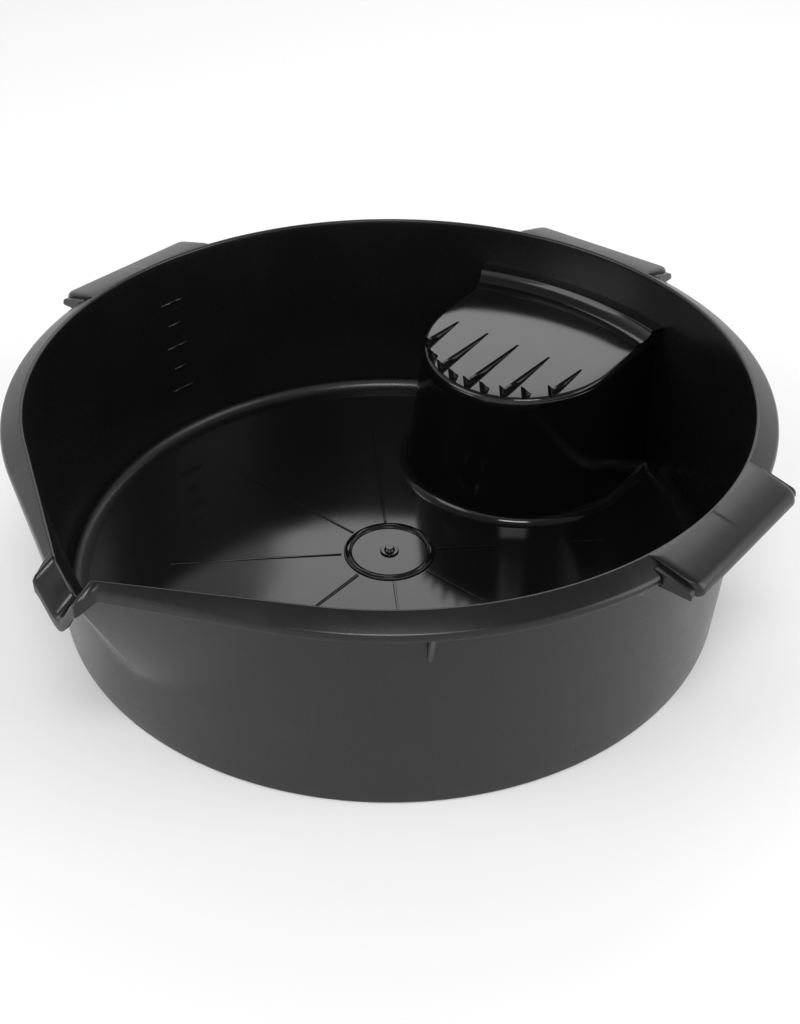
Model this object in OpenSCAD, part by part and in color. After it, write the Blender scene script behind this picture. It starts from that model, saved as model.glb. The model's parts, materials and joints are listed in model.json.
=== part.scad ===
// Oil drain pan: a round moulded pan with a pouring spout, three finger grips,
// and a finned shelf that an oil filter drains on.
// The origin is on the pan's axis at the level it stands on.
// The spout points to -Y, the shelf is at +Y and the side grips are at -X and +X.
// All lengths are in millimetres.

/* [Pan] */
// Outer radius of the rim
rim_radius = 188; // [170:1:210]
// Height of the rim's top above the ground
pan_height = 116.5; // [100:0.5:140]
// Outer radius of the side wall at its foot
base_radius = 172.5; // [155:0.5:190]
// Outer radius of the side wall under the rim
wall_top_radius = 179; // [165:1:200]
// Thickness of every moulded wall
wall = 2.5; // [2:0.1:4]
// Radius of the outer corner between wall and floor
corner_radius = 1.5; // [1:0.5:8]
// Radius of the inner fillet between wall and floor
inner_fillet = 8; // [4:0.5:14]
// Radius of the flat floor disc
floor_radius = 160; // [140:1:180]
// Height of the foot ring that the pan stands on
foot_height = 1; // [0.5:0.1:3]
// Outer radius of the foot ring
foot_outer = 165; // [150:1:180]
// Inner radius of the foot ring
foot_inner = 158; // [140:1:170]

/* [Rim] */
// Radius of the rim's rounded outer shoulder
rim_round = 3; // [2:0.5:5]
// Drop of the rim's outer shoulder below its inner crest
rim_drop = 7; // [4:0.5:10]
// Depth of the rim's skirt below the rim's crest
skirt_depth = 8; // [6:0.5:14]
// Height of the gussets between the wall and the skirt
rim_gusset_height = 20; // [8:0.5:40]

/* [Pouring spout] */
// Half the angle of the wall sector that the spout takes up
spout_half_angle = 33; // [28:1:40]
// Distance of the mouth from the pan's axis
mouth_distance = 201; // [195:0.5:215]
// Half the width of the mouth at the rim's top
mouth_half_width = 13; // [8:0.5:20]
// Depth of the notch in the mouth
mouth_depth = 14; // [8:0.5:20]
// Height where the spout's keel leaves the side wall
keel_foot = 42; // [20:1:70]
// Half the width of the rounded keel
keel_half_width = 1.5; // [0.5:0.25:4]
// Distance of the rolled lip's outer edge from the pan's axis
lip_distance = 209.5; // [203:0.5:220]
// Extra depth of the skirt at the lip
lip_drop = 4; // [0:0.5:8]

/* [Grips] */
// Distance of a grip's straight front from the pan's axis
grip_distance = 198; // [190:0.5:210]
// Length of a grip
grip_length = 86; // [60:1:110]
// Radius of a grip's rounded nose
grip_nose = 5.5; // [4:0.5:9]
// Depth of a grip's front below the rim's crest
grip_depth = 10.5; // [9:0.5:20]
// Drop of a grip's nose below the rim's crest
grip_drop = 3.8; // [2:0.1:6]
// Length of the block inside each end of a grip
grip_block = 9; // [4:0.5:16]
// Length of that block that stands out past the grip's end
grip_block_out = 3.5; // [1:0.5:6]

/* [Filter shelf] */
// Distance of the centre of the shelf's round front from the pan's axis
shelf_centre = 118; // [100:1:130]
// Half the width of the shelf at its foot
shelf_base = 64.5; // [58:0.5:80]
// Half the width of the shelf at its top
shelf_half = 56.5; // [45:0.5:70]
// Height of the shelf's top at its front edge
shelf_height = 77.5; // [60:0.5:100]
// Rise of the shelf's top for each millimetre towards the wall
shelf_slope = 0.088; // [0:0.004:0.2]
// Height of the ledge behind the shelf
ledge_height = 93; // [80:0.5:110]
// Half the angle that the ledge takes up on the wall
ledge_half_angle = 20.5; // [15:0.5:30]
// Distance of the ledge's front from the pan's axis
ledge_front = 157; // [150:0.5:168]
// Width of the hollow front of the ledge
ledge_scoop = 10; // [4:0.5:14]

/* [Fins] */
// Sideways distance between neighbouring fins
fin_pitch = 10.5; // [8:0.25:14]
// Thickness of a long fin
fin_thickness = 2; // [1:0.1:3]
// Thickness of a short fin
short_fin_thickness = 2.8; // [1:0.1:4]
// Height of a fin's tip above the shelf
fin_height = 8; // [4:0.5:14]
// Distance from the pan's axis where the long fins start
fin_start = 113; // [95:1:130]
// Length of a short fin
short_fin_length = 8; // [4:0.5:14]

/* [Floor details] */
// Outer radius of the raised ring in the middle of the floor
ring_radius = 25; // [15:0.5:40]
// Height of the ring above the floor
ring_height = 1.2; // [0.5:0.1:3]
// Radius of the moulding gate's nub
gate_radius = 5; // [2:0.5:10]
// Number of ribs that run from the ring towards the wall
floor_rib_count = 8; // [4:1:12]
// Outer end of the floor's ribs
floor_rib_end = 118; // [60:1:150]

/* [Level scale] */
// Height of the lowest level mark
level_low = 33; // [15:1:60]
// Distance between the level marks
level_step = 14; // [8:0.5:25]
// Number of level marks
level_count = 5; // [2:1:8]

/* [Hidden] */

body_colour = [0.045, 0.045, 0.048];
inner_colour = [0.030, 0.030, 0.033];

lip_space = 3;
floor_top = foot_height + wall;
wall_top = pan_height - lip_space;
window_sill = keel_foot - 2;
mouth_angle = atan(mouth_half_width / mouth_distance);
lip_half_angle = 5;
gusset_thickness = 2.5;
end_space = 400;
arc_steps = 8;
shelf_steps = 24;

// ---- Shared functions ----

// Outer and inner radius of the round side wall at height z
function wall_outer(z) =
    base_radius + (wall_top_radius - base_radius) * z / wall_top;
function wall_inner(z) = wall_outer(z) - wall;

// Points of an arc in a profile plane
function arc(centre, radius, from, to, steps = arc_steps) = [
    for (i = [0 : steps])
        let (a = from + (to - from) * i / steps)
        [centre[0] + radius * cos(a), centre[1] + radius * sin(a)]
];

// A value that eases from 0 to 1
function ease(t) =
    let (u = min(1, max(0, t)))
    u * u * (3 - 2 * u);

// Distance from the axis, at an angle from the spout's middle, of the outline
// drawn tightly round a circle and a mouth
function drawn_out(angle, circle_r, mouth_r, mouth_w) =
    let (
        corner_r = sqrt(mouth_r * mouth_r + mouth_w * mouth_w),
        corner_a = atan(mouth_w / mouth_r),
        a = abs(angle),
        reach = corner_r > circle_r ? acos(circle_r / corner_r) : 0,
        tangent_a = corner_a + reach
    )
    reach == 0 ? circle_r
    : a < corner_a ? mouth_r / cos(a)
    : a < tangent_a ? circle_r / cos(tangent_a - a)
    : circle_r;

// Mouth distance and half width of the spout's outer skin at height z
function keel_distance(z) =
    let (run = (z - keel_foot) / (wall_top - mouth_depth - keel_foot))
    wall_outer(keel_foot)
        + (mouth_distance - wall_outer(keel_foot)) * min(1, run);
function keel_width(z) =
    let (climb = max(0, z - (wall_top - mouth_depth)) / mouth_depth)
    keel_half_width + (mouth_half_width - 1 - keel_half_width) * climb;

// Height of the edge of the mouth below the rim's top
function notch(angle) = mouth_depth * (1 - ease(abs(angle) / mouth_angle));

// Faces of a solid skinned over sections of m points each.
// A section's points run so that their normal is opposite to the travel.
function skin_faces(n, m) = concat(
    [[for (j = [m - 1 : -1 : 0]) j]],
    [for (i = [0 : n - 2], j = [0 : m - 1])
        [i * m + j, i * m + (j + 1) % m, (i + 1) * m + (j + 1) % m]],
    [for (i = [0 : n - 2], j = [0 : m - 1])
        [i * m + j, (i + 1) * m + (j + 1) % m, (i + 1) * m + j]],
    [[for (j = [0 : m - 1]) (n - 1) * m + j]]
);

// The same for sections made of two facing lines, whose ends are closed by a
// ladder of quads from one line to the other
function ladder(first, m, flip) = [
    for (j = [0 : m / 2 - 2])
        let (q = [first + j, first + j + 1, first + m - 2 - j, first + m - 1 - j])
        flip ? [q[3], q[2], q[1], q[0]] : q
];
function slab_faces(n, m) = concat(
    ladder(0, m, true),
    [for (f = skin_faces(n, m)) if (len(f) == 3) f],
    ladder((n - 1) * m, m, false)
);

module slab(sections) {
    polyhedron(
        points = [for (s = sections, p = s) p],
        faces = slab_faces(len(sections), len(sections[0])),
        convexity = 6
    );
}

module skin(sections) {
    polyhedron(
        points = [for (s = sections, p = s) p],
        faces = skin_faces(len(sections), len(sections[0])),
        convexity = 6
    );
}

// Sections placed round the axis: angle 0 is the spout's middle
function placed(angle, profile) = [
    for (p = profile) [p[0] * sin(angle), -p[0] * cos(angle), p[1]]
];

// ---- Floor ----

module foot_ring() {
    color(body_colour)
    difference() {
        cylinder(r = foot_outer, h = foot_height, $fn = 180);
        translate([0, 0, -1])
            cylinder(r = foot_inner, h = foot_height + 2, $fn = 180);
    }
}

module floor() {
    color(inner_colour)
    difference() {
        translate([0, 0, foot_height])
            cylinder(r = floor_radius, h = wall, $fn = 180);
        linear_extrude(height = 20, center = true)
            shelf_footprint();
    }
}

// Plan of the shelf at the floor, run out past the wall
module shelf_footprint() {
    union() {
        translate([0, shelf_centre])
            circle(r = shelf_base, $fn = 120);
        translate([-shelf_base, shelf_centre])
            square([2 * shelf_base, end_space]);
    }
}

module centre_ring() {
    color(inner_colour)
    translate([0, 0, floor_top])
    rotate_extrude($fn = 96)
        polygon([
            [ring_radius - 5, 0],
            [ring_radius, 0],
            [ring_radius - 1, ring_height],
            [ring_radius - 4, ring_height]
        ]);
}

module gate_boss() {
    color(inner_colour)
    translate([0, 0, floor_top]) {
        cylinder(r = gate_radius, h = 1, $fn = 48);
        translate([0, 0, 1])
            cylinder(r = gate_radius - 2.5, h = 2, $fn = 48);
    }
}

// One thin rib, widest at the ring and running out to nothing
module floor_rib() {
    inner = ring_radius + 1;
    translate([0, 0, floor_top])
    rotate([90, 0, 90])
    linear_extrude(height = 1.4, center = true)
        polygon([
            [inner, 0],
            [floor_rib_end, 0],
            [inner, 0.9]
        ]);
}

// The rib towards the shelf is left out, because the shelf takes its place
module floor_ribs() {
    color(inner_colour)
    for (i = [1 : floor_rib_count - 1])
        rotate([0, 0, i * 360 / floor_rib_count])
            difference() {
                floor_rib();
                translate([0, 0, -1])
                    rotate([0, 0, -i * 360 / floor_rib_count])
                        linear_extrude(height = 20)
                            shelf_footprint();
            }
}

// ---- Side wall and spout ----

// Section of the round wall, with its corner, its foot and its fillet
function wall_profile() = concat(
    [[floor_radius, foot_height], [foot_outer, foot_height], [foot_outer, 0]],
    arc([base_radius - corner_radius, corner_radius], corner_radius, -90, -3),
    [[wall_top_radius, wall_top], [wall_top_radius - wall, wall_top]],
    arc([wall_inner(floor_top + inner_fillet) - inner_fillet,
         floor_top + inner_fillet], inner_fillet, 0, -90),
    [[floor_radius, floor_top]]
);

// The wedge of space that the spout's own wall fills
module spout_window() {
    reach = 300;
    translate([0, 0, window_sill])
    linear_extrude(height = end_space)
        polygon([
            [0, 0],
            [-reach * sin(spout_half_angle), -reach * cos(spout_half_angle)],
            [reach * sin(spout_half_angle), -reach * cos(spout_half_angle)]
        ]);
}

module side_wall() {
    color(body_colour)
    difference() {
        rotate_extrude($fn = 180)
            polygon(wall_profile());
        spout_window();
    }
}

// Angles where the spout's skins are cut into sections
function flank_angles() = [for (a = [lip_half_angle : 4 : 29]) a];
spout_angles = concat(
    [-spout_half_angle],
    [for (a = [29 : -4 : lip_half_angle]) -a],
    [for (a = [-lip_half_angle + 0.5 : 0.5 : lip_half_angle - 0.5]) a],
    flank_angles(),
    [spout_half_angle]
);

// Section of the spout's wall: up the outer skin, then down the inner skin
function spout_section(angle, levels = 10) =
    let (
        top = wall_top - notch(angle),
        rise = (top - window_sill) / levels
    )
    concat(
        [for (i = [0 : levels])
            let (z = window_sill + i * rise)
            [drawn_out(angle, wall_outer(z), keel_distance(z), keel_width(z)), z]],
        [for (i = [levels : -1 : 0])
            let (z = window_sill + i * rise)
            [drawn_out(angle, wall_inner(z), keel_distance(z) - 1.25 * wall,
                max(0.6, keel_width(z) - 1)), z]]
    );

module spout_wall() {
    color(body_colour)
    slab([for (a = spout_angles) placed(a, spout_section(a))]);
}

// ---- Rim ----

// Section of the rim: a crest at the inner edge, a top that slopes outwards,
// a rounded shoulder and a short skirt
function rim_section(inner, outer, top, skirt) =
    let (
        width = outer - inner,
        round_r = min(rim_round, 0.4 * width),
        shoulder = [outer - round_r, top - min(rim_drop, 0.65 * width)],
        crest = [inner + 1.5, top],
        slope = atan2(shoulder[1] + round_r - crest[1], shoulder[0] - crest[0]),
        skirt_in = max(outer - wall, inner + wall + 0.3)
    )
    concat(
        [
            [inner, top - lip_space],
            [inner + wall, top - lip_space],
            [skirt_in, shoulder[1] + 0.4],
            [skirt_in, top - skirt],
            [outer, top - skirt]
        ],
        arc(shoulder, round_r, 0, 90 + slope, 6),
        [crest, [inner + 0.4, top - 0.6]]
    );

module rim() {
    color(body_colour)
    rotate([0, 0, -90 + spout_half_angle])
    rotate_extrude(angle = 360 - 2 * spout_half_angle, $fn = 180)
        polygon(rim_section(wall_top_radius - wall, rim_radius,
            pan_height, skirt_depth));
}

// How far the section is into the lip: 1 at the mouth, 0 on the flanks
function lip_share(angle) = 1 - ease((abs(angle) - 3.4) / 1.2);

function spout_rim_section(angle) =
    let (
        inner = drawn_out(angle, wall_top_radius - wall,
            mouth_distance - 1.25 * wall, mouth_half_width - 2.5),
        flank = drawn_out(angle, rim_radius, mouth_distance + 0.5,
            mouth_half_width + 0.5),
        lip = lip_distance / cos(angle),
        share = lip_share(angle)
    )
    rim_section(inner, flank + (lip - flank) * share,
        pan_height - notch(angle), skirt_depth + lip_drop * share);

module spout_rim() {
    color(body_colour)
    for (side = [-1, 1])
        skin([
            for (a = spout_angles)
            if (side * a >= lip_half_angle)
            placed(a, spout_rim_section(a))
        ]);
}

module spout_lip() {
    color(body_colour)
    skin([
        for (a = spout_angles)
        if (abs(a) <= lip_half_angle)
        placed(a, spout_rim_section(a))
    ]);
}

// ---- Grips ----

// The outer line of the rim's round section, from its skirt up to its crest
function rim_outer_line() =
    let (section = rim_section(wall_top_radius - wall, rim_radius,
        pan_height, skirt_depth))
    [for (i = [4 : len(section) - 2]) section[i]];

// Everything inside the rim's outer surface, which the grips are cut back to
module rim_envelope() {
    rotate_extrude($fn = 180)
        polygon(concat(
            [[0, 0], [rim_radius, 0]],
            [for (p = rim_outer_line()) p],
            [[0, pan_height]]
        ));
}

// Section of a grip: level at the rim's crest, sloping out to the nose,
// and down its front. The thickness is taken off inwards.
function grip_section(inset) =
    let (
        nose = [grip_distance - grip_nose,
            pan_height - grip_drop - grip_nose],
        crest = wall_top_radius - 1
    )
    concat(
        [[crest - 8, pan_height - inset], [crest, pan_height - inset]],
        arc(nose, grip_nose - inset, 78, 0, 8),
        [[grip_distance - inset, pan_height - grip_depth]]
    );
function grip_profile() =
    let (outer = grip_section(0), inner = grip_section(wall))
    concat(outer, [for (i = [len(inner) - 1 : -1 : 0]) inner[i]]);

// A grip on the +X side
module grip() {
    color(body_colour)
    difference() {
        rotate([90, 0, 0])
        linear_extrude(height = grip_length, center = true)
            polygon(grip_profile());
        rim_envelope();
    }
}

// Section of the blocks: it fills the grip's hollow down to the skirt
function block_profile() =
    let (inner = grip_section(wall), bottom = pan_height - grip_depth)
    concat([[inner[0][0], bottom]], inner);

// The part of a block that stands out past the grip's end is a little smaller
module grip_blocks() {
    middle = grip_length / 2 + grip_block_out - grip_block / 2;
    color(body_colour)
    for (side = [-1, 1])
        difference() {
            translate([0, side * middle, 0])
            rotate([90, 0, 0])
            linear_extrude(height = grip_block, center = true)
                polygon(block_profile());
            block_limit();
        }
}

// The space of the wall and of the rim
module block_limit() {
    cylinder(r1 = base_radius, r2 = wall_outer(pan_height),
        h = pan_height, $fn = 180);
    intersection() {
        rim_envelope();
        translate([0, 0, pan_height - skirt_depth])
            cylinder(r = rim_radius + 1, h = skirt_depth + 1, $fn = 180);
    }
}

module handle_right() { grip(); }
module handle_back() { rotate([0, 0, 90]) grip(); }
module handle_left() { rotate([0, 0, 180]) grip(); }
module handle_right_blocks() { grip_blocks(); }
module handle_back_blocks() { rotate([0, 0, 90]) grip_blocks(); }
module handle_left_blocks() { rotate([0, 0, 180]) grip_blocks(); }

// ---- Gussets under the rim ----

// A triangular plate beside a grip's end, in the plane of the rim's skirt
module tangent_gusset(side) {
    plate_r = rim_radius - 1.5;
    rotate([0, 0, side * 14.6])
    translate([plate_r - gusset_thickness, 0, pan_height - skirt_depth])
    rotate([90, 0, 90])
    linear_extrude(height = gusset_thickness)
        polygon([
            [0, 0],
            [side * 13, 0],
            [0, -10]
        ]);
}

module handle_gussets() {
    color(body_colour)
    for (turn = [0, 90, 180], side = [-1, 1])
        rotate([0, 0, turn])
            tangent_gusset(side);
}

// A thin plate between the wall and the rim's skirt, halfway between the grips
module rim_gussets() {
    bottom = pan_height - skirt_depth - rim_gusset_height;
    top = pan_height - skirt_depth;
    color(body_colour)
    for (turn = [-45, 45, 135, 225])
        rotate([0, 0, turn])
        rotate([90, 0, 0])
        linear_extrude(height = gusset_thickness, center = true)
            polygon([
                [wall_outer(bottom), bottom],
                [rim_radius - 1, top],
                [wall_outer(top), top]
            ]);
}

// ---- Filter shelf ----

// Height of the shelf's top at a distance from the pan's axis along Y
function shelf_z(y) =
    shelf_height + shelf_slope * (y - (shelf_centre - shelf_half));

// Half width of the shelf part way up: 0 at the floor and 1 at the top
function shelf_width(share) = shelf_base + (shelf_half - shelf_base) * share;

// The shelf's open outline, from the wall round the front and back to the wall
function shelf_arch(width, reach_r) =
    let (back = sqrt(reach_r * reach_r - width * width))
    concat(
        [[-width, back]],
        [for (i = [0 : shelf_steps])
            let (a = 180 + 180 * i / shelf_steps)
            [width * cos(a), shelf_centre + width * sin(a)]],
        [[width, back]]
    );

// One point of the arch at a share of the height, below the sloping top
function arch_point(i, share, inset) =
    let (
        plan = shelf_arch(shelf_width(share) - inset,
            wall_inner(foot_height + share * 85) - 0.05),
        p = plan[i]
    )
    [p[0], p[1], foot_height + share * (shelf_z(p[1]) - wall - foot_height)];

function reversed(list) = [for (i = [len(list) - 1 : -1 : 0]) list[i]];

// The shelf's wall, skinned along its arch: up the outside and down the inside
module shelf_wall() {
    levels = [0, 0.05, 0.5, 1];
    color(inner_colour)
    slab([
        for (i = [0 : shelf_steps + 2])
        concat(
            [for (share = levels) arch_point(i, share, 0)],
            [for (share = reversed(levels)) arch_point(i, share, wall)]
        )
    ]);
}

// Plan of the shelf's top: the arch closed along the ledge's front
function top_plan() = concat(
    shelf_arch(shelf_half, ledge_front),
    [for (a = [19 : -2 : -19])
        let (limit = asin(shelf_half / ledge_front) * a / 20)
        [ledge_front * sin(limit), ledge_front * cos(limit)]]
);

module shelf_top() {
    plan = reversed(top_plan());
    color(inner_colour)
    skin([
        for (drop = [wall, 0])
        [for (p = plan) [p[0], p[1], shelf_z(p[1]) - drop]]
    ]);
}

// The ledge: a step against the wall with a hollow front
module shelf_ledge() {
    foot = shelf_z(ledge_front) - wall;
    drop = ledge_height - shelf_z(ledge_front) - 1;
    hollow = [
        for (p = arc([0, 0], 1, 0, -90, 6))
        [ledge_front + ledge_scoop * p[0], ledge_height + drop * p[1]]
    ];
    color(inner_colour)
    rotate([0, 0, 90 - ledge_half_angle])
    rotate_extrude(angle = 2 * ledge_half_angle, $fn = 180)
        polygon(concat(
            [
                [ledge_front, foot],
                [wall_inner(foot), foot],
                [wall_inner(ledge_height), ledge_height],
                [ledge_front + ledge_scoop + 1.5, ledge_height]
            ],
            hollow
        ));
}

// Distance from the pan's axis of the shelf's front edge at x
function shelf_front(x) = shelf_centre - sqrt(shelf_half * shelf_half - x * x);

// A fin that rises from its start to a point at the shelf's front edge
module fin(x, start, thickness) {
    front = shelf_front(x) + 0.5;
    tip = shelf_z(front) + fin_height;
    translate([x, 0, 0])
    rotate([90, 0, 90])
    linear_extrude(height = thickness, center = true)
        polygon([
            [front + 1.5, shelf_z(front + 1.5)],
            [start, shelf_z(start)],
            [front + 4, shelf_z(front) + 0.45 * fin_height],
            [front, tip]
        ]);
}

module long_fins() {
    color(inner_colour)
    for (i = [-2 : 2])
        fin(2 * i * fin_pitch, fin_start, fin_thickness);
}

module short_fins() {
    color(inner_colour)
    for (i = [-2 : 1])
        fin((2 * i + 1) * fin_pitch,
            shelf_front((2 * i + 1) * fin_pitch) + short_fin_length,
            short_fin_thickness);
}

// ---- Level scale ----

// Raised marks on the inside of the wall, every second one longer
module level_scale() {
    color(inner_colour)
    for (i = [0 : level_count - 1]) {
        z = level_low + i * level_step;
        span = i % 2 == 0 ? 5 : 3;
        rotate([0, 0, 176 - span / 2])
        rotate_extrude(angle = span, $fn = 180)
            polygon([
                [wall_inner(z) - 0.6, z + 0.3],
                [wall_inner(z), z],
                [wall_inner(z + 2), z + 2],
                [wall_inner(z) - 0.6, z + 1.7]
            ]);
    }
}

foot_ring();
floor();
centre_ring();
gate_boss();
floor_ribs();
side_wall();
spout_wall();
rim();
spout_rim();
spout_lip();
handle_left();
handle_right();
handle_back();
handle_left_blocks();
handle_right_blocks();
handle_back_blocks();
handle_gussets();
rim_gussets();
shelf_wall();
shelf_top();
shelf_ledge();
long_fins();
short_fins();
level_scale();
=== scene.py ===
import json
import math

import bmesh
import bpy
import numpy as np
from mathutils import Matrix, Vector

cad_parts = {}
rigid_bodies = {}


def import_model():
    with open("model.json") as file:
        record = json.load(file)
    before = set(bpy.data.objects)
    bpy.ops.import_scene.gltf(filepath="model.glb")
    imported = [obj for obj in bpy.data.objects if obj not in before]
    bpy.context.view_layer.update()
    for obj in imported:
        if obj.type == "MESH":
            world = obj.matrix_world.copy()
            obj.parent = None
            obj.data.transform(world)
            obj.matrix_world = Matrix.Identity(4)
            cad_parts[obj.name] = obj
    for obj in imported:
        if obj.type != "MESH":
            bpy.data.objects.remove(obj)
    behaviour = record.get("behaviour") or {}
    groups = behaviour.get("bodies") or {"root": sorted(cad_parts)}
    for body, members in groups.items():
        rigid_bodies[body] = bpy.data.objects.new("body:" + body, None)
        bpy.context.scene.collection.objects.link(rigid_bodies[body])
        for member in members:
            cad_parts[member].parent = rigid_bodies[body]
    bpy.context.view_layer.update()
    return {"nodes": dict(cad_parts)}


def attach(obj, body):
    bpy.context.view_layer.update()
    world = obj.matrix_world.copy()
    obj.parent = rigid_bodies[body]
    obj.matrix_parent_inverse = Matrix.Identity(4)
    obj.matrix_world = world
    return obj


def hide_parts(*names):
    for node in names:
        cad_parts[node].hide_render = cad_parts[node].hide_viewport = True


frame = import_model()

MM = 0.001

# Sizes of the pan in millimetres, the same as the CAD model's

# Pan
RIM_R = 188.0
TOP = 116.5
BASE_R = 172.5
WALL_TOP_R = 179.0
WALL = 2.5
CORNER_R = 1.5
FILLET = 8.0
FLOOR_R = 160.0
FOOT = 1.0
FOOT_OUTER = 165.0

# Rim
RIM_ROUND = 3.0
RIM_DROP = 7.0
SKIRT = 8.0
LIP_SPACE = 3.0

# Pouring spout
SECTOR = 33.0
MOUTH = 201.0
MOUTH_W = 13.0
MOUTH_DEPTH = 14.0
KEEL_FOOT = 42.0
KEEL_W = 1.5
LIP = 209.5
LIP_DROP = 4.0
LIP_ANGLE = 5.0
LIP_FULL = 3.4
LIP_BLEND = 1.2

# Grips
GRIP_D = 198.0
GRIP_L = 86.0
GRIP_NOSE = 5.5
GRIP_DROP = 3.8
GRIP_DEPTH = 10.5

# Filter shelf and the ledge behind it
SHELF_C = 118.0
SHELF_BASE = 64.5
SHELF_HALF = 56.5
SHELF_Z = 77.5
SHELF_SLOPE = 0.088
LEDGE_Z = 93.0
LEDGE_ANGLE = 20.5
LEDGE_FRONT = 157.0
LEDGE_SCOOP = 10.0

# Worked out from the sizes above
FLOOR_TOP = FOOT + WALL
WALL_TOP = TOP - LIP_SPACE
SILL = KEEL_FOOT - 2.0
MOUTH_ANGLE = math.degrees(math.atan(MOUTH_W / MOUTH))
MOUTH_INNER = MOUTH - 1.25 * WALL
GRIP_CREST = WALL_TOP_R - 1.0

# Roundings that only the visible pieces have
CREST_R = 1.3
SKIRT_EDGE = 0.5
GRIP_CORNER = 4.0
GRIP_EDGE = 0.9
SHELF_EDGE = 2.5
SHELF_FLARE = 6.0
LEDGE_EDGE = 0.8

# How far a piece reaches into the wall behind it
BITE = 1.0
LEDGE_BITE = 0.6


# ---------------------------------------------------------------- shapes

def wall_outer(z):
    """Outer radius of the round wall at height z."""
    return BASE_R + (WALL_TOP_R - BASE_R) * z / WALL_TOP


def wall_inner(z):
    """Inner radius of the round wall at height z."""
    return wall_outer(z) - WALL


def arc(centre, radius, start, end, steps):
    """Points of an arc in a section's plane, its angles in degrees."""
    angles = np.radians(np.linspace(start, end, steps + 1))
    return [(centre[0] + radius * math.cos(a), centre[1] + radius * math.sin(a)) for a in angles]


def ease(t):
    """A value that eases from 0 to 1."""
    u = min(1.0, max(0.0, t))
    return u * u * (3 - 2 * u)


def signed(angle):
    """The same angle between -180 and 180 degrees."""
    return angle - 360 if angle > 180 else angle


def drawn_out(angle, circle_r, mouth_r, mouth_w):
    """Distance from the axis of the outline drawn tightly round a circle and a mouth."""
    corner_r = math.hypot(mouth_r, mouth_w)
    corner_a = math.degrees(math.atan(mouth_w / mouth_r))
    if corner_r <= circle_r:
        return circle_r
    a = abs(angle)
    tangent_a = corner_a + math.degrees(math.acos(circle_r / corner_r))
    if a < corner_a:
        return mouth_r / math.cos(math.radians(a))
    if a < tangent_a:
        return circle_r / math.cos(math.radians(tangent_a - a))
    return circle_r


def keel_distance(z):
    """Distance of the spout's keel from the axis at height z."""
    run = (z - KEEL_FOOT) / (WALL_TOP - MOUTH_DEPTH - KEEL_FOOT)
    start = wall_outer(KEEL_FOOT)
    return start + (MOUTH - start) * min(1.0, run)


def keel_width(z):
    """Half width of the spout's keel at height z."""
    climb = max(0.0, z - (WALL_TOP - MOUTH_DEPTH)) / MOUTH_DEPTH
    return KEEL_W + (MOUTH_W - 1 - KEEL_W) * climb


def notch(angle):
    """Depth of the mouth's notch below the rim's top."""
    return MOUTH_DEPTH * (1 - ease(abs(angle) / MOUTH_ANGLE))


def lip_share(angle):
    """How far a section is into the lip: 1 at the mouth, 0 on the flanks."""
    return 1 - ease((abs(angle) - LIP_FULL) / LIP_BLEND)


def place(angle, r, z):
    """A point in metres. Angle 0 is the spout's middle."""
    a = math.radians(angle)
    return (r * math.sin(a) * MM, -r * math.cos(a) * MM, z * MM)


# ---------------------------------------------------------------- mesh tools

# Edges that fold by more than this stay sharp, or are rounded where a CAD node is softened
SHARP_ANGLE = 32.0
SOFTENED_ANGLE = 28.0


def finish_piece(name, mesh, material, replaced):
    """Put a smooth-shaded piece in the scene, standing for the CAD nodes it replaces."""
    mesh.validate()
    mesh.update()
    piece = bpy.data.objects.new(name, mesh)
    bpy.context.scene.collection.objects.link(piece)
    for poly in mesh.polygons:
        poly.use_smooth = True
    mesh.set_sharp_from_angle(angle=math.radians(SHARP_ANGLE))
    mesh.materials.append(material)
    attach(piece, "root")
    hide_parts(*replaced)


def mesh_of(name, points, faces):
    """A mesh without double points, its normals turned outwards."""
    mesh = bpy.data.meshes.new(name)
    mesh.from_pydata([tuple(p) for p in points], [], faces)
    work = bmesh.new()
    work.from_mesh(mesh)
    bmesh.ops.remove_doubles(work, verts=work.verts, dist=1e-7)
    bmesh.ops.recalc_face_normals(work, faces=work.faces)
    work.to_mesh(mesh)
    work.free()
    return mesh


def slab(name, outer, inner, mask, closed, spine=False):
    """A solid between two grids of points that share their indices, where the mask is set.
    With a spine the last column folds back on itself and gets no edge strip."""
    rows, cols = outer.shape[0], outer.shape[1]
    count = rows * cols
    points = np.concatenate([outer.reshape(-1, 3), inner.reshape(-1, 3)])
    last = rows if closed else rows - 1
    faces = []

    def at(i, j, side):
        return side * count + (i % rows) * cols + j

    def filled(i, j):
        if closed:
            i %= rows
        if not (0 <= i < last and 0 <= j < cols - 1):
            return False
        return bool(mask[i, j])

    for i in range(last):
        for j in range(cols - 1):
            if not filled(i, j):
                continue
            faces.append((at(i, j, 0), at(i + 1, j, 0), at(i + 1, j + 1, 0), at(i, j + 1, 0)))
            faces.append((at(i, j, 1), at(i, j + 1, 1), at(i + 1, j + 1, 1), at(i + 1, j, 1)))
            edges = [
                (filled(i - 1, j), (i, j), (i, j + 1)),
                (filled(i + 1, j), (i + 1, j + 1), (i + 1, j)),
                (filled(i, j - 1), (i + 1, j), (i, j)),
                (filled(i, j + 1), (i, j + 1), (i + 1, j + 1)),
            ]
            if spine and j == cols - 2:
                edges.pop()
            for neighbour, a, b in edges:
                if not neighbour:
                    faces.append((at(*a, 0), at(*b, 0), at(*b, 1), at(*a, 1)))
    used = sorted({v for f in faces for v in f})
    lookup = {v: k for k, v in enumerate(used)}
    return mesh_of(name, points[used], [tuple(lookup[v] for v in f) for f in faces])


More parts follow.
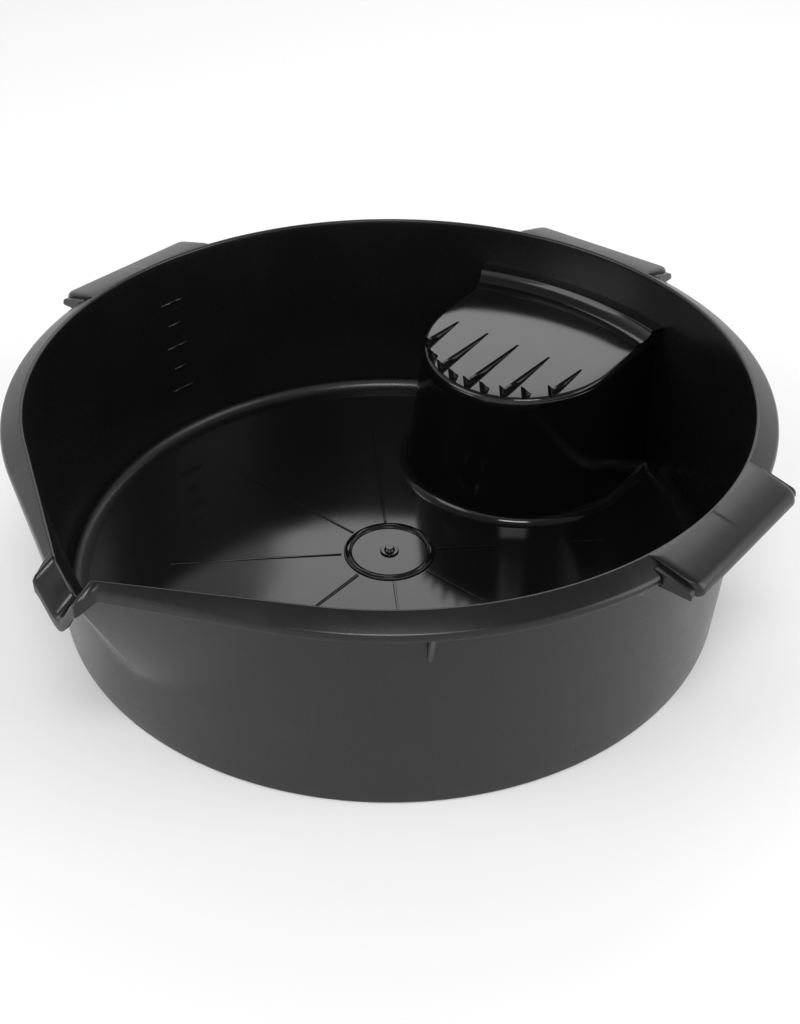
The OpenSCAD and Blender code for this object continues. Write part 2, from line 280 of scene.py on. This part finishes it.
def sweep(name, sections):
    """A solid skinned over closed sections of equal length."""
    n, m = len(sections), len(sections[0])
    points = [p for s in sections for p in s]
    faces = []
    for i in range(n - 1):
        for j in range(m):
            a, b = i * m, (i + 1) * m
            k = (j + 1) % m
            faces.append((a + j, a + k, b + k, b + j))
    faces.append(tuple(range(m)))
    faces.append(tuple(reversed(range((n - 1) * m, n * m))))
    return mesh_of(name, points, faces)


def joined(name, meshes):
    """One mesh from several."""
    work = bmesh.new()
    for mesh in meshes:
        work.from_mesh(mesh)
    whole = bpy.data.meshes.new(name)
    work.to_mesh(whole)
    work.free()
    return whole


def softened(name, node, width, material, segments=2):
    """A copy of a CAD node with its edges rounded, standing for that node."""
    work = bmesh.new()
    work.from_mesh(frame["nodes"][node].data)
    bmesh.ops.remove_doubles(work, verts=work.verts, dist=1e-6)
    bmesh.ops.dissolve_limit(work, angle_limit=math.radians(1), verts=work.verts, edges=work.edges)
    edges = [
        e for e in work.edges
        if len(e.link_faces) == 2 and e.calc_face_angle(0) > math.radians(SOFTENED_ANGLE)
    ]
    bmesh.ops.bevel(work, geom=edges, offset=width * MM, segments=segments,
                    affect="EDGES", clamp_overlap=True)
    mesh = bpy.data.meshes.new(name)
    work.to_mesh(mesh)
    work.free()
    finish_piece(name, mesh, material, [node])


# ---------------------------------------------------------------- materials

def plastic(name, base, rough, bump, scuffs):
    """Black moulded plastic: mottled sheen, fine mould grain, soft sink marks and light scuffs."""
    material = bpy.data.materials.new(name)
    material.use_nodes = True
    tree = material.node_tree
    nodes, links = tree.nodes, tree.links
    shader = nodes["Principled BSDF"]
    shader.inputs["IOR"].default_value = 1.46
    shader.inputs["Specular IOR Level"].default_value = 0.5
    coordinates = nodes.new("ShaderNodeTexCoord")

    def noise(scale, detail, harsh=0.5, stretch=None):
        tex = nodes.new("ShaderNodeTexNoise")
        tex.inputs["Scale"].default_value = scale
        tex.inputs["Detail"].default_value = detail
        tex.inputs["Roughness"].default_value = harsh
        source = coordinates.outputs["Object"]
        if stretch:
            mapping = nodes.new("ShaderNodeMapping")
            mapping.inputs["Scale"].default_value = stretch
            mapping.inputs["Rotation"].default_value = (0.3, 0.2, 0.6)
            links.new(source, mapping.inputs["Vector"])
            source = mapping.outputs["Vector"]
        links.new(source, tex.inputs["Vector"])
        return tex.outputs["Fac"]

    def spread(value, low, high, out_low, out_high):
        node = nodes.new("ShaderNodeMapRange")
        node.inputs["From Min"].default_value = low
        node.inputs["From Max"].default_value = high
        node.inputs["To Min"].default_value = out_low
        node.inputs["To Max"].default_value = out_high
        links.new(value, node.inputs["Value"])
        return node.outputs["Result"]

    def scaled_sum(value, factor, other):
        node = nodes.new("ShaderNodeMath")
        node.operation = "MULTIPLY_ADD"
        links.new(value, node.inputs[0])
        node.inputs[1].default_value = factor
        links.new(other, node.inputs[2])
        return node.outputs["Value"]

    def bumped(height, strength, distance):
        node = nodes.new("ShaderNodeBump")
        node.inputs["Strength"].default_value = strength
        node.inputs["Distance"].default_value = distance
        links.new(height, node.inputs["Height"])
        return node

    clouds = noise(14.0, 4.0, 0.6)
    grain = noise(2200.0, 2.0)
    flow = noise(22.0, 1.0)
    scratch = noise(60.0, 6.0, 0.75, stretch=(1.0, 14.0, 3.0))

    worn = spread(scratch, 0.60, 0.72, 0.0, scuffs)
    geometry = nodes.new("ShaderNodeNewGeometry")
    edge = spread(geometry.outputs["Pointiness"], 0.52, 0.60, 0.0, 0.35)

    colour = nodes.new("ShaderNodeMix")
    colour.data_type = "RGBA"
    colour.inputs["A"].default_value = (base * 0.9, base * 0.9, base * 0.93, 1)
    colour.inputs["B"].default_value = (base * 1.15, base * 1.15, base * 1.17, 1)
    links.new(clouds, colour.inputs["Factor"])
    worn_colour = nodes.new("ShaderNodeMix")
    worn_colour.data_type = "RGBA"
    worn_colour.inputs["B"].default_value = (base * 2.2, base * 2.2, base * 2.2, 1)
    links.new(colour.outputs["Result"], worn_colour.inputs["A"])
    links.new(scaled_sum(worn, 0.5, edge), worn_colour.inputs["Factor"])
    links.new(worn_colour.outputs["Result"], shader.inputs["Base Color"])

    patchy = spread(clouds, 0.3, 0.7, rough * 0.85, rough * 1.15)
    links.new(scaled_sum(worn, 0.25, patchy), shader.inputs["Roughness"])

    fine = bumped(grain, bump, 0.04 * MM)
    sink = bumped(flow, 0.35, 0.6 * MM)
    links.new(sink.outputs["Normal"], fine.inputs["Normal"])
    links.new(fine.outputs["Normal"], shader.inputs["Normal"])
    return material


satin = plastic("satin_black_plastic", 0.004, 0.27, 0.4, 0.4)
gloss = plastic("gloss_black_plastic", 0.003, 0.10, 0.2, 0.3)


# ---------------------------------------------------------------- wall and spout

FLANK_STEPS, LIP_STEPS, ROUND_STEPS = 56, 80, 490
angles = np.concatenate([
    np.linspace(-SECTOR, -LIP_ANGLE, FLANK_STEPS, endpoint=False),
    np.linspace(-LIP_ANGLE, LIP_ANGLE, LIP_STEPS, endpoint=False),
    np.linspace(LIP_ANGLE, SECTOR, FLANK_STEPS, endpoint=False),
    np.linspace(SECTOR, 360 - SECTOR, ROUND_STEPS, endpoint=False),
])
FIRST_LIP = FLANK_STEPS
LAST_LIP = FIRST_LIP + LIP_STEPS
FIRST_ROUND = LAST_LIP + FLANK_STEPS

# Steps up the wall: round its corner, below the spout's sill and above it
ARC_STEPS, BELOW, ABOVE = 8, 6, 24
# Keeps neighbouring points of the foot's step apart
STEP_GAP = 0.05


def wall_levels(angle):
    """Matching points of the outer and the inner skin of the wall at one angle."""
    angle = signed(angle)
    low_in = wall_inner(FLOOR_TOP + FILLET)
    outer = [(FLOOR_R, FOOT), (FOOT_OUTER, FOOT), (FOOT_OUTER + STEP_GAP, 0.0)]
    outer += arc((BASE_R - CORNER_R + STEP_GAP, CORNER_R), CORNER_R, -90, -3.5, ARC_STEPS)
    inner = [(FLOOR_R, FLOOR_TOP), (FLOOR_R + 0.8, FLOOR_TOP), (FLOOR_R + 1.6, FLOOR_TOP)]
    inner += arc((low_in - FILLET, FLOOR_TOP + FILLET), FILLET, -90, 0, ARC_STEPS)
    for k in range(1, BELOW + 1):
        share = k / BELOW
        z_out = CORNER_R + (SILL - CORNER_R) * share
        z_in = FLOOR_TOP + FILLET + (SILL - FLOOR_TOP - FILLET) * share
        outer.append((wall_outer(z_out), z_out))
        inner.append((wall_inner(z_in), z_in))
    top = WALL_TOP - notch(angle)
    for k in range(1, ABOVE + 1):
        z = SILL + (top - SILL) * k / ABOVE
        outer.append((drawn_out(angle, wall_outer(z), keel_distance(z), keel_width(z)), z))
        inner_keel = keel_distance(z) - 1.25 * WALL
        inner_width = max(0.6, keel_width(z) - 1)
        inner.append((drawn_out(angle, wall_inner(z), inner_keel, inner_width), z))
    return outer, inner


outer_grid, inner_grid = [], []
for angle in angles:
    out_line, in_line = wall_levels(angle)
    outer_grid.append([place(angle, r, z) for r, z in out_line])
    inner_grid.append([place(angle, r, z) for r, z in in_line])
outer_grid = np.array(outer_grid)
inner_grid = np.array(inner_grid)

# The row at the sill: three points of the foot, the corner's arc and the rows below
sill_row = 3 + ARC_STEPS + BELOW
spout_mask = np.zeros((len(angles), outer_grid.shape[1] - 1), bool)
spout_mask[:FIRST_ROUND, sill_row:] = True

finish_piece("pan_wall", slab("pan_wall", outer_grid, inner_grid, ~spout_mask, True),
             satin, ["side_wall"])
finish_piece("spout_skin", slab("spout_skin", outer_grid, inner_grid, spout_mask, True),
             satin, ["spout_wall"])


# ---------------------------------------------------------------- rim and lip

def rim_profile(inner, outer, top, skirt):
    """Section of the rim: a crest at the inner edge, a sloping top, a shoulder and a skirt."""
    width = outer - inner
    round_r = min(RIM_ROUND, 0.4 * width)
    shoulder = (outer - round_r, top - min(RIM_DROP, 0.65 * width))
    crest = inner + 1.5
    slope = math.degrees(math.atan2(shoulder[1] + round_r - top, shoulder[0] - crest))
    skirt_in = max(outer - WALL, inner + WALL + 0.3)
    edge = min(SKIRT_EDGE, 0.3 * (outer - skirt_in))
    points = [(inner, top - LIP_SPACE), (inner + WALL, top - LIP_SPACE),
              (skirt_in, shoulder[1] + 0.4)]
    points += arc((skirt_in + edge, top - skirt + edge), edge, 180, 270, 3)
    points += arc((outer - edge, top - skirt + edge), edge, 270, 360, 3)
    points += arc(shoulder, round_r, 0, 90 + slope, 10)
    points += arc((inner + CREST_R + 0.1, top - CREST_R), CREST_R, 90 + slope, 172, 6)
    return points


def rim_at(angle):
    """Section of the rim, the spout's flanks or the lip, at one angle."""
    angle = signed(angle)
    inner = drawn_out(angle, WALL_TOP_R - WALL, MOUTH_INNER, MOUTH_W - WALL)
    flank = drawn_out(angle, RIM_R, MOUTH + 0.5, MOUTH_W + 0.5)
    share = lip_share(angle)
    outer = flank
    if share > 0:
        outer = flank + (LIP / math.cos(math.radians(angle)) - flank) * share
    profile = rim_profile(inner, outer, TOP - notch(angle), SKIRT + LIP_DROP * share)
    return [place(angle, r, z) for r, z in profile]


rim_rings = [rim_at(a) for a in angles]
round_rings = rim_rings[FIRST_ROUND:] + [rim_rings[0]]
finish_piece("rim_bead", sweep("rim_bead", round_rings), satin, ["rim"])
flanks = joined("spout_flanks", [
    sweep("flank_a", rim_rings[:FIRST_LIP + 1]),
    sweep("flank_b", rim_rings[LAST_LIP:FIRST_ROUND + 1]),
])
finish_piece("spout_flanks", flanks, satin, ["spout_rim"])
finish_piece("rolled_lip", sweep("rolled_lip", rim_rings[FIRST_LIP:LAST_LIP + 1]),
             satin, ["spout_lip"])


# ---------------------------------------------------------------- grips

def grip_section(t):
    """Closed section of a grip at a distance t along it; its end corners are rounded."""
    over = max(0.0, abs(t) - (GRIP_L / 2 - GRIP_CORNER))
    pull = GRIP_CORNER - math.sqrt(max(0.0, GRIP_CORNER ** 2 - over * over))
    nose = (GRIP_D - GRIP_NOSE - pull, TOP - GRIP_DROP - GRIP_NOSE)
    crest = math.sqrt(GRIP_CREST ** 2 - t * t)
    under = math.sqrt((RIM_R - 1.0) ** 2 - t * t)
    bottom = TOP - GRIP_DEPTH
    edge = GRIP_EDGE
    points = [(crest, TOP - 0.02), (GRIP_CREST - pull, TOP - 0.02)]
    points += arc(nose, GRIP_NOSE, 78, 0, 16)
    points += arc((nose[0] + GRIP_NOSE - edge, bottom + edge), edge, 0, -90, 3)
    points += arc((nose[0] + GRIP_NOSE - WALL + edge, bottom + edge), edge, 270, 180, 3)
    points += arc(nose, GRIP_NOSE - WALL, 0, 78, 8)
    points += [(under, TOP - 6.5), (crest + 3.0, TOP - 3.5)]
    return [(x * MM, t * MM, z * MM) for x, z in points]


def turned(mesh, degrees):
    """A copy of a mesh, turned about the pan's axis."""
    turned_mesh = mesh.copy()
    turned_mesh.transform(Matrix.Rotation(math.radians(degrees), 4, "Z"))
    return turned_mesh


# Distances along a grip: close together round its end corners
straight = GRIP_L / 2 - GRIP_CORNER
corner_turn = np.linspace(0, math.pi / 2, 9)
stations = np.concatenate([
    -straight - GRIP_CORNER * np.cos(corner_turn[:-1]),
    np.linspace(-straight, straight, 49),
    straight + GRIP_CORNER * np.sin(corner_turn[1:]),
])
grip_mesh = sweep("grip", [grip_section(t) for t in stations])
for side, degrees in (("right", 0), ("back", 90), ("left", 180)):
    finish_piece(f"grip_{side}", turned(grip_mesh, degrees), satin,
                 [f"handle_{side}"])
    softened(f"grip_{side}_blocks", f"handle_{side}_blocks", 0.8, satin, 3)


# ---------------------------------------------------------------- filter shelf

def shelf_z(y):
    """Height of the shelf's sloping top."""
    return SHELF_Z + SHELF_SLOPE * (y - (SHELF_C - SHELF_HALF))


# Half the number of steps along the arch, and the rows up the skin and in over the top
ARCH_STEPS = 96
FLARE_ROWS, SIDE_ROWS, EDGE_ROWS, TOP_ROWS = 8, 12, 8, 8
# Share of the outline's parameter that each straight side takes up
SIDE_SHARE = 0.22


def arch_point(u, width, reach):
    """Point of the shelf's open outline: u runs from -1 at the left wall to 1 at the right."""
    back = math.sqrt(reach * reach - width * width)
    if u < -1 + SIDE_SHARE:
        share = (u + 1) / SIDE_SHARE
        return (-width, back + (SHELF_C - back) * share)
    if u > 1 - SIDE_SHARE:
        share = (1 - u) / SIDE_SHARE
        return (width, back + (SHELF_C - back) * share)
    a = math.radians(180 + 180 * (u + 1 - SIDE_SHARE) / (2 - 2 * SIDE_SHARE))
    return (width * math.cos(a), SHELF_C + width * math.sin(a))


def shelf_line(u, inset):
    """Points up the shelf's skin and in over its top, for the outer or the inner skin."""
    line = []
    base = SHELF_BASE - inset
    top = SHELF_HALF - inset
    floor_z = FLOOR_TOP if inset == 0 else FOOT
    flare_width = SHELF_FLARE if inset == 0 else 1.0
    for a in np.radians(np.linspace(0, 90, FLARE_ROWS)):
        width = base + flare_width * (1 - math.sin(a))
        z = floor_z + SHELF_FLARE * (1 - math.cos(a))
        x, y = arch_point(u, width, wall_inner(z) + BITE)
        line.append((x, y, z))
    side_foot = floor_z + SHELF_FLARE
    for share in np.linspace(0.12, 0.96, SIDE_ROWS):
        width = base + (top - base) * share
        x, y = arch_point(u, width, wall_inner(8 + 75 * share) + BITE)
        side_top = shelf_z(y) - inset - SHELF_EDGE
        line.append((x, y, side_foot + (side_top - side_foot) * (share - 0.06) / 0.90))
    for a in np.radians(np.linspace(10, 90, EDGE_ROWS)):
        width = top - SHELF_EDGE * (1 - math.cos(a))
        x, y = arch_point(u, width, wall_inner(84) + BITE)
        line.append((x, y, shelf_z(y) - inset - SHELF_EDGE * (1 - math.sin(a))))
    x0, y0 = line[-1][:2]
    spine_y = max(y0, SHELF_C)
    for share in np.linspace(0.12, 1.0, TOP_ROWS):
        x, y = x0 * (1 - share), y0 + (spine_y - y0) * share
        line.append((x, y, shelf_z(y) - inset))
    return [(x * MM, y * MM, z * MM) for x, y, z in line]


params = np.linspace(-1, 1, 2 * ARCH_STEPS + 1)
shelf_outer = np.array([shelf_line(u, 0.0) for u in params])
shelf_inner = np.array([shelf_line(u, WALL) for u in params])
side_mask = np.ones((len(params) - 1, shelf_outer.shape[1] - 1), bool)
side_mask[:, FLARE_ROWS + SIDE_ROWS + EDGE_ROWS - 2:] = False
finish_piece("shelf_side", slab("shelf_side", shelf_outer, shelf_inner, side_mask, False),
             gloss, ["shelf_wall"])
finish_piece("shelf_deck", slab("shelf_deck", shelf_outer, shelf_inner, ~side_mask, False, True),
             gloss, ["shelf_top"])


def ledge_profile():
    """Section of the step against the wall, with its hollow front."""
    foot = shelf_z(LEDGE_FRONT) - WALL * 0.8
    drop = LEDGE_Z - shelf_z(LEDGE_FRONT) - 1.0
    edge_centre = (LEDGE_FRONT + LEDGE_SCOOP + LEDGE_EDGE, LEDGE_Z - LEDGE_EDGE)
    points = [(LEDGE_FRONT, foot), (wall_inner(foot) + LEDGE_BITE, foot),
              (wall_inner(LEDGE_Z) + LEDGE_BITE, LEDGE_Z)]
    points += arc(edge_centre, LEDGE_EDGE, 90, 180, 4)
    points += [(LEDGE_FRONT + LEDGE_SCOOP * x, LEDGE_Z + drop * z)
               for x, z in arc((0, 0), 1, -12, -90, 12)]
    return points


ledge_angles = np.linspace(180 - LEDGE_ANGLE, 180 + LEDGE_ANGLE, 73)
ledge = sweep("shelf_step", [[place(a, r, z) for r, z in ledge_profile()] for a in ledge_angles])
finish_piece("shelf_step", ledge, gloss, ["shelf_ledge"])

softened("long_spikes", "long_fins", 0.35, gloss)
softened("short_spikes", "short_fins", 0.35, gloss)


# ---------------------------------------------------------------- floor

softened("foot", "foot_ring", 0.3, satin)
softened("floor_streaks", "floor_ribs", 0.3, gloss)
softened("gate_nub", "gate_boss", 0.6, gloss, 3)
softened("gate_ring", "centre_ring", 0.5, gloss, 3)
softened("level_marks", "level_scale", 0.08, satin)
softened("grip_plates", "handle_gussets", 0.4, satin)
softened("rim_plates", "rim_gussets", 0.4, satin)

floor_node = frame["nodes"]["floor"]
floor_node.data.materials.clear()
floor_node.data.materials.append(gloss)


# ---------------------------------------------------------------- seams

# Two normals closer than this belong to one smooth surface
SAME_SURFACE = 0.9


def blend_seams(names):
    """Give pieces that meet in a smooth surface the same normals along their seams."""
    meshes = [bpy.data.objects[n].data for n in names]

    def corner_list(mesh):
        return [
            (tuple(round(c, 6) for c in mesh.vertices[loop.vertex_index].co), normal.vector.copy())
            for loop, normal in zip(mesh.loops, mesh.corner_normals)
        ]

    corners = [corner_list(mesh) for mesh in meshes]
    shared = {}
    for m, pairs in enumerate(corners):
        for point, normal in pairs:
            shared.setdefault(point, []).append((m, normal))
    for m, mesh in enumerate(meshes):
        normals = []
        for point, own in corners[m]:
            total = own.copy()
            for other, normal in shared[point]:
                if other != m and normal.dot(own) > SAME_SURFACE:
                    total += normal
            normals.append(total.normalized())
        mesh.normals_split_custom_set(normals)


blend_seams(["pan_wall", "spout_skin"])
blend_seams(["rim_bead", "spout_flanks", "rolled_lip"])
blend_seams(["shelf_side", "shelf_deck"])


# ---------------------------------------------------------------- stage, light, camera

def stage_plane():
    """The pale studio floor."""
    half = 6.0
    corners = [(-half, -half, 0), (half, -half, 0), (half, half, 0), (-half, half, 0)]
    mesh = bpy.data.meshes.new("studio_floor")
    mesh.from_pydata(corners, [], [(0, 1, 2, 3)])
    plane = bpy.data.objects.new("studio_floor", mesh)
    bpy.context.scene.collection.objects.link(plane)
    paint = bpy.data.materials.new("studio_paint")
    paint.use_nodes = True
    shader = paint.node_tree.nodes["Principled BSDF"]
    shader.inputs["Base Color"].default_value = (0.93, 0.93, 0.93, 1)
    shader.inputs["Roughness"].default_value = 0.9
    mesh.materials.append(paint)


stage_plane()

AZIMUTH = 39.8
ELEVATION = 35.08
DISTANCE = 0.6956
TARGET = Vector((0, 0, 0.0586))
SENSOR = 36.0
LENS = 47.232
SHIFT = (0.010254, -0.043066)


def around(azimuth, elevation, distance):
    """A point round the target. Azimuth 0 is on the spout's side."""
    a, e = math.radians(azimuth), math.radians(elevation)
    towards = Vector((math.sin(a) * math.cos(e), -math.cos(a) * math.cos(e), math.sin(e)))
    return TARGET + distance * towards


def aimed(thing, azimuth, elevation, distance):
    """Put a lamp or the camera round the target, pointing at it."""
    thing.location = around(azimuth, elevation, distance)
    thing.rotation_euler = (TARGET - thing.location).to_track_quat("-Z", "Y").to_euler()
    bpy.context.scene.collection.objects.link(thing)


def softbox(name, azimuth, elevation, distance, size, power):
    """A rectangular lamp that points at the pan."""
    data = bpy.data.lights.new(name, "AREA")
    data.shape = "RECTANGLE"
    data.size, data.size_y = size
    data.energy = power
    aimed(bpy.data.objects.new(name, data), azimuth, elevation, distance)


softbox("left_light", -35, 25, 1.8, (1.0, 1.4), 11)
softbox("right_light", 115, 25, 1.8, (1.0, 1.4), 11)
softbox("back_light", 205, 42, 1.8, (1.2, 0.6), 5)
softbox("front_light", 40, 60, 1.8, (0.6, 0.35), 9)

world = bpy.data.worlds.new("studio")
bpy.context.scene.world = world
world.use_nodes = True


def sky():
    """A pale studio: bright low walls and a dimmer ceiling."""
    nodes, links = world.node_tree.nodes, world.node_tree.links
    where = nodes.new("ShaderNodeTexCoord")
    split = nodes.new("ShaderNodeSeparateXYZ")
    level = nodes.new("ShaderNodeMapRange")
    level.inputs["From Min"].default_value = 0.45
    level.inputs["From Max"].default_value = 0.85
    level.inputs["To Min"].default_value = 1.08
    level.inputs["To Max"].default_value = 0.28
    background = nodes["Background"]
    background.inputs["Color"].default_value = (1, 1, 1, 1)
    links.new(where.outputs["Generated"], split.inputs["Vector"])
    links.new(split.outputs["Z"], level.inputs["Value"])
    links.new(level.outputs["Result"], background.inputs["Strength"])


sky()

camera = bpy.data.cameras.new("camera")
camera.sensor_fit = "AUTO"
camera.sensor_width = SENSOR
camera.lens = LENS
camera.shift_x, camera.shift_y = SHIFT
camera.clip_start = 0.01
viewpoint = bpy.data.objects.new("camera", camera)
aimed(viewpoint, AZIMUTH, ELEVATION, DISTANCE)
bpy.context.scene.camera = viewpoint
bpy.context.scene.view_settings.view_transform = "Standard"
